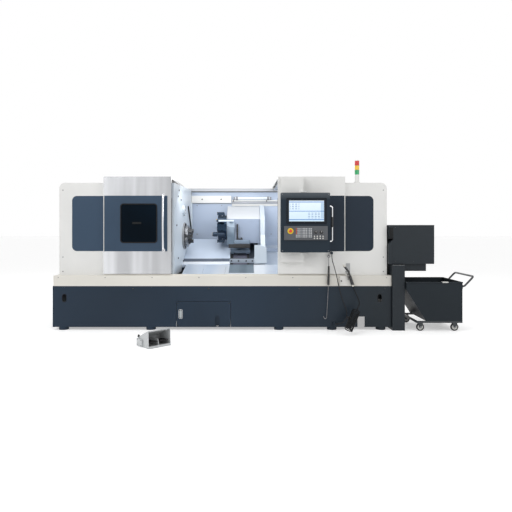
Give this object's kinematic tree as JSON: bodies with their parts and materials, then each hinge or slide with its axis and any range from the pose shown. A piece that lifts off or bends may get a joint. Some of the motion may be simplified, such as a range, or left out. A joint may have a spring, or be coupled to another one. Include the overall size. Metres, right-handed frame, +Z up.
{
  "type": "cnc turning lathe",
  "caption": "Slant-bed turning lathe in a wide sheet-metal enclosure with two sliding doors, swivelling panel, chip conveyor, chip cart and foot switch.",
  "frame": {"origin": "on the floor, under the middle of the machine's base", "axes": "+X along the spindle to the operator's right, +Y away from the operator, +Z up"},
  "size_m": [5.21, 2.8587, 2.121],
  "materials": {
    "cover_white": "satin, powder coated",
    "apron_white": "satin, powder coated",
    "base_navy": "satin, powder coated",
    "door_steel": "bright, with a dark painted band",
    "door_white": "satin, with a dark painted band",
    "wall_steel": "satin, pale blue-grey sheet",
    "way_steel": "ground, oiled",
    "chute_steel": "bright sheet",
    "casting_grey": "painted casting with ground ways",
    "machined_steel": "turned and ground",
    "hard_jaw": "blackened",
    "turret_dark": "dark, machined edges",
    "housing_grey": "satin",
    "lamp_glass": "frosted tube",
    "window_dark": "dark laminated glass in rubber",
    "bright_chrome": "polished",
    "panel_dark": "fine texture",
    "screen_glass": "gloss",
    "plate_grey": "matte with pale keys",
    "stop_red": "gloss",
    "knob_black": "matte",
    "lens_stack": "translucent, red over amber over green",
    "grip_black": "moulded",
    "hose_black": "smooth",
    "charcoal": "fine texture",
    "switch_grey": "hammered",
    "pedal_black": "ribbed",
    "wheel_black": "moulded",
    "bracket_grey": "satin"
  },
  "bodies": {
    "root": {"base_skirt": "base_navy", "apron": "apron_white", "left_cover": "cover_white", "right_cover": "cover_white", "rear_enclosure": "wall_steel", "work_lamp": "lamp_glass", "spindle_guard": "cover_white", "chute_panels": "chute_steel", "electrical_cabinet": "cover_white", "bed_casting": "casting_grey", "headstock": "casting_grey", "way_leaf_fixed": "way_steel", "tower_post": "cover_white", "tower_lenses": "lens_stack", "gun_bracket": "bracket_grey", "gun_body": "grip_black", "gun_hose": "hose_black", "gun_coil": "hose_black", "panel_cable": "hose_black", "foot_switch_body": "switch_grey", "conveyor_body": "charcoal", "conveyor_head": "charcoal"},
    "left_door": {"left_door": "door_steel", "door_window": "window_dark", "door_handle": "bright_chrome"},
    "right_door": {"right_door": "door_white", "panel_column": "cover_white", "chip_hook": "grip_black"},
    "panel": {"panel_housing": "panel_dark", "panel_screen": "screen_glass", "control_plate": "plate_grey", "panel_handle": "bright_chrome"},
    "stop_button": {"stop_button": "stop_red"},
    "feed_knob": {"feed_knob": "knob_black"},
    "speed_knob": {"speed_knob": "knob_black"},
    "spindle": {"chuck_body": "machined_steel"},
    "jaw_1": {"chuck_jaw_1": "hard_jaw"},
    "jaw_2": {"chuck_jaw_2": "hard_jaw"},
    "jaw_3": {"chuck_jaw_3": "hard_jaw"},
    "carriage": {"saddle": "casting_grey", "carriage_shield": "cover_white", "way_leaf_carriage": "way_steel"},
    "cross_slide": {"cross_slide": "casting_grey", "turret_housing": "housing_grey", "turret_hood": "cover_white"},
    "turret": {"turret_disc": "turret_dark", "turret_tools": "machined_steel"},
    "middle_leaf": {"way_leaf_middle": "way_steel"},
    "tailstock": {"tailstock": "casting_grey"},
    "quill": {"tailstock_quill": "machined_steel"},
    "tank": {"coolant_tank": "base_navy"},
    "gun_lever": {"gun_trigger": "grip_black"},
    "left_pedal": {"foot_pedal_left": "pedal_black"},
    "right_pedal": {"foot_pedal_right": "pedal_black"},
    "cart": {"cart_hopper": "charcoal", "cart_frame": "charcoal"},
    "wheel_front_left": {"cart_wheel_front_left": "wheel_black"},
    "wheel_front_right": {"cart_wheel_front_right": "wheel_black"},
    "wheel_rear_left": {"cart_wheel_rear_left": "wheel_black"},
    "wheel_rear_right": {"cart_wheel_rear_right": "wheel_black"}
  },
  "joints": [
    {"name": "left_door_slide", "type": "slide", "parent": "root", "child": "left_door", "axis": [1, 0, 0], "range_m": [0, 0.66]},
    {"name": "right_door_slide", "type": "slide", "parent": "root", "child": "right_door", "axis": [-1, 0, 0], "range_m": [0, 0.66]},
    {"name": "panel_swivel", "type": "hinge", "parent": "right_door", "child": "panel", "pos_m": [1.018, -1.093, 1.33], "axis": [0, 0, 1], "range_deg": [-9, 25]},
    {"name": "stop_press", "type": "slide", "parent": "panel", "child": "stop_button", "axis": [0, 1, 0], "range_m": [0, 0.004], "stiffness_N_per_m": 3000, "springref_m": -0.002},
    {"name": "feed_knob_turn", "type": "hinge", "parent": "panel", "child": "feed_knob", "pos_m": [1.131, -1.18, 1.213], "axis": [0, 1, 0], "range_deg": [-135, 135]},
    {"name": "speed_knob_turn", "type": "hinge", "parent": "panel", "child": "speed_knob", "pos_m": [1.197, -1.18, 1.213], "axis": [0, 1, 0], "range_deg": [-135, 135]},
    {"name": "spindle_spin", "type": "hinge", "parent": "root", "child": "spindle", "pos_m": [-0.5, -0.2, 1.152], "axis": [1, 0, 0], "continuous": true},
    {"name": "jaw_1_slide", "type": "slide", "parent": "spindle", "child": "jaw_1", "axis": [0, -1, 0], "range_m": [-0.008, 0.01]},
    {"name": "jaw_2_slide", "type": "slide", "parent": "spindle", "child": "jaw_2", "axis": [0, 0.5, -0.866], "range_m": [-0.008, 0.01]},
    {"name": "jaw_3_slide", "type": "slide", "parent": "spindle", "child": "jaw_3", "axis": [0, 0.5, 0.866], "range_m": [-0.008, 0.01]},
    {"name": "carriage_slide", "type": "slide", "parent": "root", "child": "carriage", "axis": [1, 0, 0], "range_m": [-0.22, 0.35]},
    {"name": "cross_slide_move", "type": "slide", "parent": "carriage", "child": "cross_slide", "axis": [0, -0.866, -0.5], "range_m": [-0.04, 0.2]},
    {"name": "turret_index", "type": "hinge", "parent": "cross_slide", "child": "turret", "pos_m": [0, 0.00785, 1.272], "axis": [1, 0, 0], "continuous": true},
    {"name": "middle_leaf_slide", "type": "slide", "parent": "root", "child": "middle_leaf", "axis": [1, 0, 0], "range_m": [-0.112, 0.177]},
    {"name": "tailstock_slide", "type": "slide", "parent": "root", "child": "tailstock", "axis": [1, 0, 0], "range_m": [-0.45, 0]},
    {"name": "quill_slide", "type": "slide", "parent": "tailstock", "child": "quill", "axis": [-1, 0, 0], "range_m": [0, 0.1]},
    {"name": "tank_slide", "type": "slide", "parent": "root", "child": "tank", "axis": [0, -1, 0], "range_m": [0, 0.45]},
    {"name": "gun_lever_squeeze", "type": "hinge", "parent": "root", "child": "gun_lever", "pos_m": [1.54736, -1, 0.69606], "axis": [0, -1, 0], "range_deg": [0, 6], "stiffness_Nm_per_rad": 3, "springref_deg": -6.88},
    {"name": "left_pedal_rock", "type": "hinge", "parent": "root", "child": "left_pedal", "pos_m": [-0.74219, -1.67403, 0.034], "axis": [0.7431, 0.6691, 0], "range_deg": [0, 10], "stiffness_Nm_per_rad": 12, "springref_deg": -8.59},
    {"name": "right_pedal_rock", "type": "hinge", "parent": "root", "child": "right_pedal", "pos_m": [-0.74219, -1.67403, 0.034], "axis": [0.7431, 0.6691, 0], "range_deg": [0, 10], "stiffness_Nm_per_rad": 12, "springref_deg": -8.59},
    {"name": "cart_roll", "type": "slide", "parent": "root", "child": "cart", "axis": [1, 0, 0], "range_m": [0, 0.6]},
    {"name": "wheel_front_left_spin", "type": "hinge", "parent": "cart", "child": "wheel_front_left", "pos_m": [2.44, -0.991, 0.048], "axis": [0, 1, 0], "continuous": true},
    {"name": "wheel_front_right_spin", "type": "hinge", "parent": "cart", "child": "wheel_front_right", "pos_m": [2.862, -0.991, 0.048], "axis": [0, 1, 0], "continuous": true},
    {"name": "wheel_rear_left_spin", "type": "hinge", "parent": "cart", "child": "wheel_rear_left", "pos_m": [2.44, -0.466, 0.048], "axis": [0, 1, 0], "continuous": true},
    {"name": "wheel_rear_right_spin", "type": "hinge", "parent": "cart", "child": "wheel_rear_right", "pos_m": [2.862, -0.466, 0.048], "axis": [0, 1, 0], "continuous": true}
  ],
  "couplings": [
    {"joint": "jaw_2_slide", "follows": "jaw_1_slide", "ratio": 1},
    {"joint": "jaw_3_slide", "follows": "jaw_1_slide", "ratio": 1},
    {"joint": "middle_leaf_slide", "follows": "carriage_slide", "ratio": 0.5},
    {"joint": "wheel_front_left_spin", "follows": "cart_roll", "rad_per_m": 20.833},
    {"joint": "wheel_front_right_spin", "follows": "cart_roll", "rad_per_m": 20.833},
    {"joint": "wheel_rear_left_spin", "follows": "cart_roll", "rad_per_m": 20.833},
    {"joint": "wheel_rear_right_spin", "follows": "cart_roll", "rad_per_m": 20.833}
  ]
}
